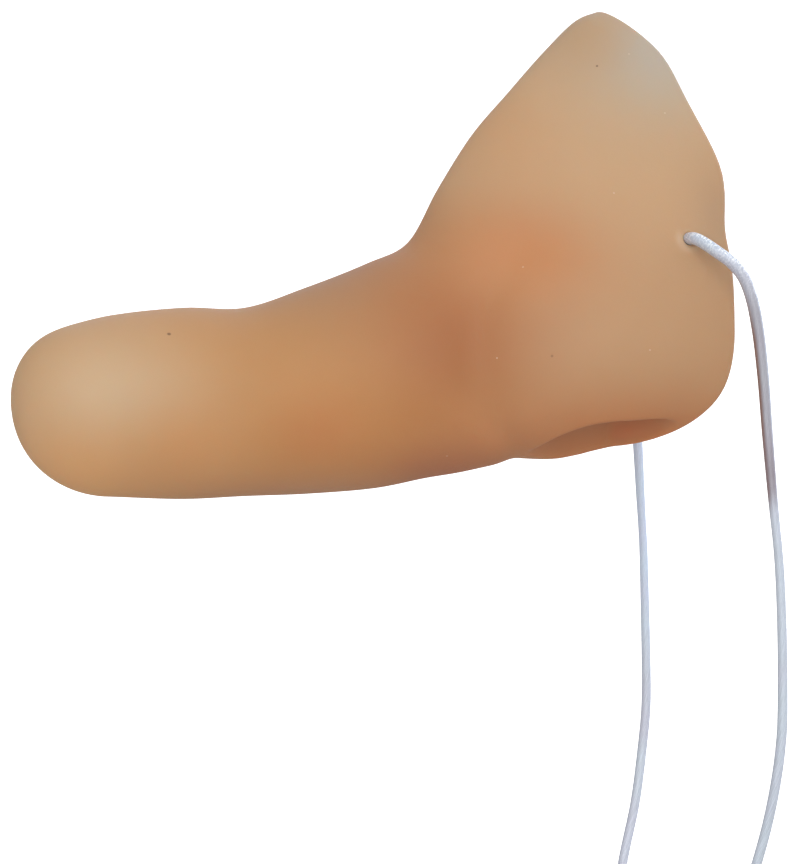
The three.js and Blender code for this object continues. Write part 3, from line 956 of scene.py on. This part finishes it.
def tube(path, radius, sides, closed=False):
    """Corners and faces of a tube along a path. The radius is one for each ring and side."""
    ahead = np.roll(path, -1, axis=0) - np.roll(path, 1, axis=0)
    if not closed:
        ahead[0] = path[1] - path[0]
        ahead[-1] = path[-1] - path[-2]
    ahead /= np.linalg.norm(ahead, axis=1, keepdims=True)
    across = np.zeros_like(path)
    start = np.cross(ahead[0], TUBE_START)
    across[0] = start / np.linalg.norm(start)
    for k in range(1, len(path)):
        flat = across[k - 1] - ahead[k] * (across[k - 1] @ ahead[k])
        across[k] = flat / np.linalg.norm(flat)
    other = np.cross(ahead, across)
    angle = np.arange(sides) * 2 * np.pi / sides
    ring = across[:, None] * np.cos(angle)[:, None] + other[:, None] * np.sin(angle)[:, None]
    points = (path[:, None] + ring * radius[..., None]).reshape(-1, 3)
    faces = []
    rings = len(path)
    for k in range(rings if closed else rings - 1):
        for step in range(sides):
            after = (step + 1) % sides
            here, there = k * sides, ((k + 1) % rings) * sides
            faces.append([here + step, here + after, there + after, there + step])
    if not closed:
        faces.append(list(range(sides))[::-1])
        faces.append([(rings - 1) * sides + step for step in range(sides)])
    return points, faces


def wound_tube(path, run, radius, closed=False):
    """A tube of wound threads, and each corner's place in their long winding and in the ribs across."""
    angle = np.arange(CORD_SIDES) * 2 * np.pi / CORD_SIDES
    wound = angle - 2 * np.pi * run[:, None] / THREAD_PITCH
    thread = THREAD_HEIGHT * np.abs(np.sin(THREAD_COUNT / 2 * wound))
    points, faces = tube(path, radius[:, None] + thread, CORD_SIDES, closed)
    along = np.broadcast_to(run[:, None], wound.shape)
    winding = np.stack([np.cos(wound), np.sin(wound), FIBRE_STRETCH * along], axis=-1)
    ribs = np.stack([np.cos(wound), np.sin(wound), RIB_STRETCH * along], axis=-1)
    return points, faces, {"winding": winding.reshape(-1, 3), "ribs": ribs.reshape(-1, 3)}


def make_cord(material):
    mirrored = [(-x, y, z) for x, y, z in CORD_HALF_ROUTE[-2::-1]]
    path, run = smooth_route(CORD_HALF_ROUTE + mirrored, CORD_STEP)
    from_knot = np.minimum(run, run[-1] - run)
    radius = np.interp(from_knot, *zip(*CORD_RADII))
    points, faces, places = wound_tube(path, run, radius)
    height = points[:, 2]
    # painted shade: the right strand is greyer beside the wing
    painted_shade_stretch = (1 - smooth_rise(*SHADE_STRETCH_START, height)) * smooth_rise(*SHADE_STRETCH_END, height) * (points[:, 0] > 0)
    # painted reflection of the skin on the side of the grey stretch towards the nose
    skin_reflection = painted_shade_stretch * (1 - smooth_rise(*SKIN_REFLECTION_START, height))
    outward = points.reshape(len(path), CORD_SIDES, 3) - path[:, None]
    outward = (outward / radius[:, None, None]).reshape(-1, 3)
    slack = np.repeat(1 - smooth_rise(*SLACK_RUN, from_knot), CORD_SIDES)
    masks = {
        **places,
        # painted light: the left strand is paler where the nose shades it
        "far_strand_light": smooth_rise(*FAR_STRAND_LIGHT_HEIGHT, height) * (points[:, 0] < 0),
        # painted shade, kept off the side away from the nose as a painted highlight
        "painted_shade_stretch": painted_shade_stretch * (1 - smooth_rise(*HIGHLIGHT_SIDE, outward[:, 1])),
        "skin_reflection": skin_reflection * smooth_rise(*SKIN_REFLECTION_SIDE, -outward[:, 1]),
        "mauve_band": MAUVE_BAND_STRENGTH * bell(height - MAUVE_BAND_HEIGHT, MAUVE_BAND_SPREAD) * (points[:, 0] > 0),
        "slack": slack,
        # painted highlight on the ribs' upper side
        "shine": slack * smooth_rise(*SHINE_SIDE, outward @ np.array(SHINE_DIRECTION)),
    }
    return mesh_object("elastic", points, faces, material, masks), path, run[-1]


def make_knot(side, material):
    """A stopper knot: a trefoil of three interlaced turns, with the cut end of the elastic beside it."""
    t = np.linspace(0, 2 * np.pi, KNOT_RINGS, endpoint=False)
    turns = np.stack([
        -np.sin(3 * t),
        np.sin(t) + 2 * np.sin(2 * t),
        np.cos(t) - 2 * np.cos(2 * t),
    ], axis=1) * KNOT_RADIUS / KNOT_REACH
    run = t / (2 * np.pi) * KNOT_RUN
    points, faces, places = wound_tube(turns, run, np.full(KNOT_RINGS, KNOT_TUBE), closed=True)
    tail_path, tail_run = smooth_route(KNOT_TAIL_ROUTE, CORD_STEP)
    tail = wound_tube(tail_path, tail_run, np.full(len(tail_path), KNOT_TUBE))
    shifted = [[corner + len(points) for corner in face] for face in tail[1]]
    points = np.concatenate([points, tail[0]]) * (side, 1, 1)
    faces = faces + shifted
    if side < 0:
        faces = [face[::-1] for face in faces]
    points = points + (side * KNOT_CENTRE_X, STRAP_HOLE[1], STRAP_HOLE[2])
    name = "knot_tied_right" if side > 0 else "knot_tied_left"
    masks = {key: np.concatenate([values, tail[2][key]]) for key, values in places.items()}
    return mesh_object(name, points, faces, material, masks)


def make_shell():
    points, faces, depth, places = build_moulding()
    masks = tint_masks(points, *places)
    masks["lining"] = smooth_rise(*LINING_DEPTH, depth)
    tree = BVHTree.FromPolygons([Vector(p * MM) for p in points], faces)
    marks = [(radius, strength, code, seen_at(tree, pixels)) for radius, strength, code, pixels in MARKS]
    return mesh_object("vinyl_nose", points, faces, skin_material(marks), masks)


# Floor and light


def stage_material():
    """Plain pale paper, a little darker on the floor than on the wall."""
    shader = Shader(bpy.data.materials.new("pale_paper"))
    fleck = shader.noise(*PAPER_NOISE)
    height = shader.add("ShaderNodeSeparateXYZ", {0: shader.place()}, output="Z")
    return shader.finish(
        Base_Color=shader.tint(fleck, *PAPER_SHADES),
        Roughness=PAPER_ROUGHNESS,
        Specular_IOR_Level=PAPER_GLOSS,
        Emission_Color=WHITE,
        Emission_Strength=shader.spread(height, *PAPER_GLOW, FLOOR_HEIGHT, PAPER_GLOW_TOP, "SMOOTHSTEP"),
    )


def make_stage():
    """A round floor that sweeps up into a wall and a ceiling, like a paper tent, seen by the camera alone.

    It is drawn in metres, so its points are taken back to millimetres for the mesh.
    """
    inner = STAGE_RADIUS - STAGE_CORNER
    profile = [(STAGE_POLE, FLOOR_HEIGHT)]
    for centre, start in ((FLOOR_HEIGHT + STAGE_CORNER, -math.pi / 2), (STAGE_TOP - STAGE_CORNER, 0)):
        for step in range(CORNER_STEPS + 1):
            angle = start + math.pi / 2 * step / CORNER_STEPS
            out = inner + STAGE_CORNER * math.cos(angle)
            profile.append((out, centre + STAGE_CORNER * math.sin(angle)))
    profile.append((STAGE_POLE, STAGE_TOP))
    points = []
    for out, height in profile:
        for side in range(STAGE_SIDES):
            angle = 2 * math.pi * side / STAGE_SIDES
            points.append((out * math.cos(angle) / MM, out * math.sin(angle) / MM, height / MM))
    faces = []
    for ring in range(len(profile) - 1):
        for side in range(STAGE_SIDES):
            after = (side + 1) % STAGE_SIDES
            here, there = ring * STAGE_SIDES, (ring + 1) * STAGE_SIDES
            faces.append([here + side, there + side, there + after, here + after])
    backdrop = mesh_object("backdrop", points, faces, stage_material())
    backdrop.visible_diffuse = False
    backdrop.visible_glossy = False
    backdrop.visible_shadow = False


def area_light(name, place, size, power, colour):
    data = bpy.data.lights.new(name, "AREA")
    data.shape = "DISK"
    data.size = size
    data.energy = power
    data.color = colour
    light = bpy.data.objects.new(name, data)
    light.location = place
    light.rotation_euler = (Vector(place) - Vector(VIEW_TARGET)).to_track_quat("Z", "Y").to_euler()
    light.visible_camera = False
    bpy.context.collection.objects.link(light)
    return light


def light_only(light, piece):
    """Keeps a lamp's light off everything but one piece."""
    lit = bpy.data.collections.new(light.name)
    lit.objects.link(piece)
    light.light_linking.receiver_collection = lit


def make_world():
    """Soft light from all round: warm below, bright above, dim on the far side and cool behind the back."""
    shader = Shader(bpy.data.worlds.new("studio"), "Background")
    direction = shader.add("ShaderNodeTexCoord", output="Generated")
    height = shader.add("ShaderNodeSeparateXYZ", {0: direction}, output="Z")
    side = shader.add("ShaderNodeSeparateXYZ", {0: direction}, output="X")
    rise = shader.spread(height, 0, 1, *SKY_RISE, "SMOOTHSTEP")
    colour = shader.tint(rise, SKY_BELOW, SKY_ABOVE)
    far = shader.spread(side, 1, 0, *SKY_FAR_SIDE, "SMOOTHSTEP")
    colour = shader.tint(far, colour, SKY_FAR)
    inputs = {0: direction, 1: COOL_DIRECTION}
    towards = shader.add("ShaderNodeVectorMath", inputs, output="Value", operation="DOT_PRODUCT")
    cool = shader.spread(towards, 0, 1, *COOL_SPREAD, "SMOOTHSTEP")
    colour = shader.tint(cool, colour, SKY_COOL)
    bpy.context.scene.world = shader.finish(Color=colour, Strength=1)


def make_light(cord):
    lamps = {name: area_light(name, *lamp) for name, lamp in LAMPS.items()}
    lamps["far_side"].visible_glossy = False
    light_only(lamps["glint"], cord)
    make_world()
    bpy.context.scene.view_settings.view_transform = "Standard"


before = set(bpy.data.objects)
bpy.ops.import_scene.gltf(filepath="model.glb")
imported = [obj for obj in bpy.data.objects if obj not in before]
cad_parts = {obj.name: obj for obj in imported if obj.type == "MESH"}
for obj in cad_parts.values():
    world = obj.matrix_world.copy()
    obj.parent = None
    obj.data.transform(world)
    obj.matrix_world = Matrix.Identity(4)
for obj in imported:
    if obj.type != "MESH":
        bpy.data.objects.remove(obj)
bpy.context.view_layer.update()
make_camera()

thread = elastic_material()
elastic, route, elastic_length = make_cord(thread)
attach(elastic, "root")
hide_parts("elastic_cord")

for knot_side, knot_node in ((1, "knot_right"), (-1, "knot_left")):
    knot = make_knot(knot_side, thread)
    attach(knot, "root")
    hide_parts(knot_node)

shell = make_shell()
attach(shell, "root")
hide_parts("nose_shell")

make_stage()
make_light(elastic)
